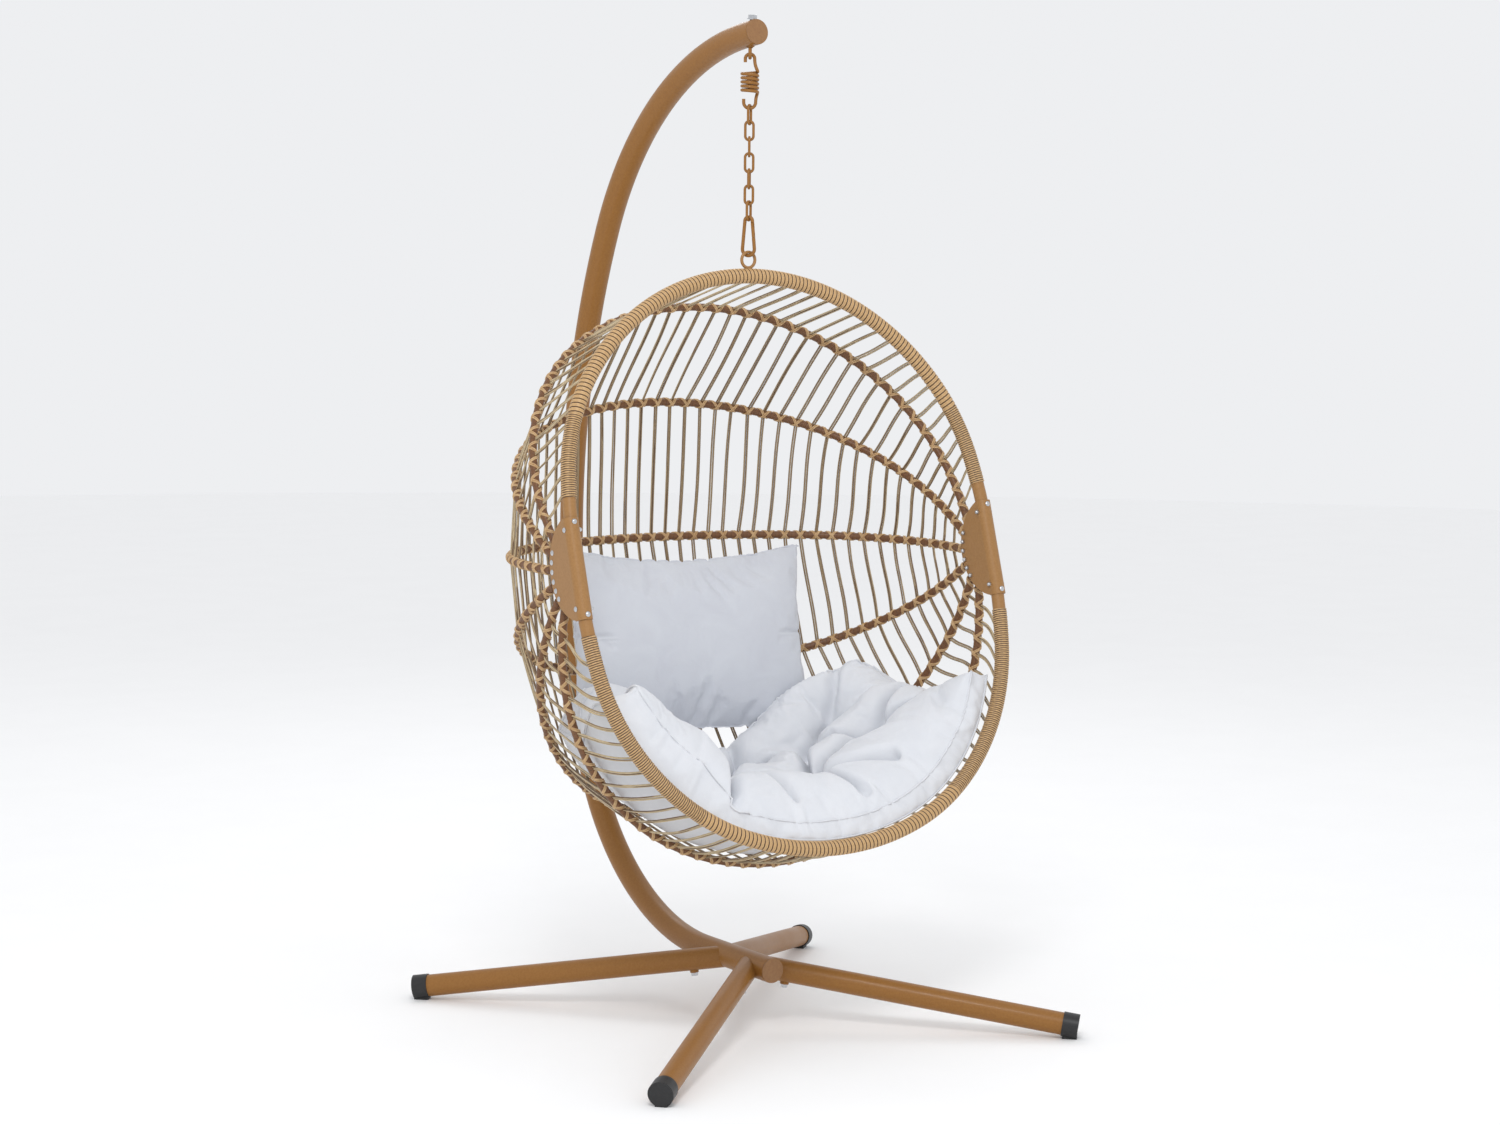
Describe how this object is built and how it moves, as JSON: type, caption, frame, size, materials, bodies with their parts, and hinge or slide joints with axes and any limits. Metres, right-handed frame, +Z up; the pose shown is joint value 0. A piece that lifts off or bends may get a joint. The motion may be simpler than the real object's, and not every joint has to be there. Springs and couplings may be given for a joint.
{
  "type": "hanging egg chair",
  "caption": "Woven egg-shaped basket chair with tufted seat cushion and back pillow, hung by spring, chain and snap hook from a bent-tube stand on splayed legs.",
  "frame": {"origin": "centre of the footprint on the floor, in the plane of the pole", "axes": "+Z up; the open side of the basket faces -Y; the pole lies in the plane X = 0"},
  "size_m": [0.962, 1.1666, 1.9218],
  "materials": {
    "tube": "satin bronze-brown powder coat",
    "plug": "matte",
    "foot": "matte black",
    "zinc": "zinc plated",
    "hanger_steel": "bright plated",
    "winding": "synthetic cane, light tan",
    "braid": "synthetic cane, brown",
    "strand": "synthetic cane cord, beige",
    "fabric": "plain woven cotton, cool white"
  },
  "bodies": {
    "stand": {"pole_lower": "tube", "pole_upper": "tube", "pole_plug_low": "plug", "pole_plug_top": "plug", "leg_front_left": "tube", "leg_front_right": "tube", "leg_rear_left": "tube", "leg_rear_right": "tube", "cap_front_left": "foot", "cap_front_right": "foot", "cap_rear_left": "foot", "cap_rear_right": "foot", "stand_screws": "zinc", "eye_bolt": "hanger_steel", "eye_nut": "zinc"},
    "spring": {"spring": "hanger_steel"},
    "chain_link_1": {"chain_link_1": "hanger_steel"},
    "chain_link_2": {"chain_link_2": "hanger_steel"},
    "chain_link_3": {"chain_link_3": "hanger_steel"},
    "chain_link_4": {"chain_link_4": "hanger_steel"},
    "chain_link_5": {"chain_link_5": "hanger_steel"},
    "chain_link_6": {"chain_link_6": "hanger_steel"},
    "chain_link_7": {"chain_link_7": "hanger_steel"},
    "snap_hook": {"snap_hook": "hanger_steel", "gate_pin": "hanger_steel"},
    "snap_gate": {"snap_gate": "hanger_steel"},
    "basket": {"hanging_ring": "tube", "rim_upper": "tube", "rim_lower": "tube", "rim_wrap_upper": "winding", "rim_wrap_lower": "winding", "bracket_left": "tube", "bracket_right": "tube", "bracket_bolts": "zinc", "bracket_nuts": "zinc", "rib_bolts": "zinc", "rib_nuts": "zinc", "rib_a": "tube", "rib_b": "tube", "rib_c": "tube", "rib_d": "tube", "rib_e": "tube", "rib_f": "tube", "rib_wrap_a": "braid", "rib_wrap_b": "braid", "rib_wrap_c": "braid", "rib_wrap_d": "braid", "rib_wrap_e": "braid", "rib_wrap_f": "braid", "weave_1": "strand", "weave_2": "strand", "weave_3": "strand", "weave_4": "strand", "weave_5": "strand", "weave_6": "strand", "weave_7": "strand", "seat_cushion": "fabric", "back_pillow": "fabric"}
  },
  "joints": [
    {"name": "swing_fore_aft", "type": "hinge", "parent": "stand", "child": "spring", "pos_m": [0, -0.10943, 1.8449], "axis": [1, 0, 0], "range_deg": [-6, 6]},
    {"name": "spring_stretch", "type": "slide", "parent": "spring", "child": "chain_link_1", "axis": [0, 0, -1], "range_m": [0, 0.02], "stiffness_N_per_m": 15000, "springref_m": -0.0195, "deforming": ["spring"]},
    {"name": "link_2_sideways", "type": "hinge", "parent": "chain_link_1", "child": "chain_link_2", "pos_m": [0, -0.10943, 1.7206], "axis": [0, 1, 0], "range_deg": [-6, 6]},
    {"name": "link_3_twist", "type": "hinge", "parent": "chain_link_2", "child": "chain_link_3", "pos_m": [0, -0.10943, 1.6906], "axis": [0, 0, 1], "range_deg": [-15, 15]},
    {"name": "link_4_fore_aft", "type": "hinge", "parent": "chain_link_3", "child": "chain_link_4", "pos_m": [0, -0.10943, 1.6606], "axis": [1, 0, 0], "range_deg": [-5, 5]},
    {"name": "link_5_twist", "type": "hinge", "parent": "chain_link_4", "child": "chain_link_5", "pos_m": [0, -0.10943, 1.6306], "axis": [0, 0, 1], "range_deg": [-10, 15]},
    {"name": "link_6_sideways", "type": "hinge", "parent": "chain_link_5", "child": "chain_link_6", "pos_m": [0, -0.10943, 1.6006], "axis": [0, 1, 0], "range_deg": [-5, 5]},
    {"name": "link_7_fore_aft", "type": "hinge", "parent": "chain_link_6", "child": "chain_link_7", "pos_m": [0, -0.10943, 1.5706], "axis": [1, 0, 0], "range_deg": [-3, 3]},
    {"name": "hook_sideways", "type": "hinge", "parent": "chain_link_7", "child": "snap_hook", "pos_m": [0, -0.10943, 1.541], "axis": [0, 1, 0], "range_deg": [-4, 4]},
    {"name": "gate_open", "type": "hinge", "parent": "snap_hook", "child": "snap_gate", "pos_m": [0.00439, -0.11646, 1.53011], "axis": [0.848, 0.5299, 0], "range_deg": [0, 22], "stiffness_Nm_per_rad": 0.02, "springref_deg": -20.05},
    {"name": "basket_turn", "type": "hinge", "parent": "snap_hook", "child": "basket", "pos_m": [0, -0.10943, 1.4747], "axis": [0, 0, 1], "range_deg": [-4, 26]}
  ]
}
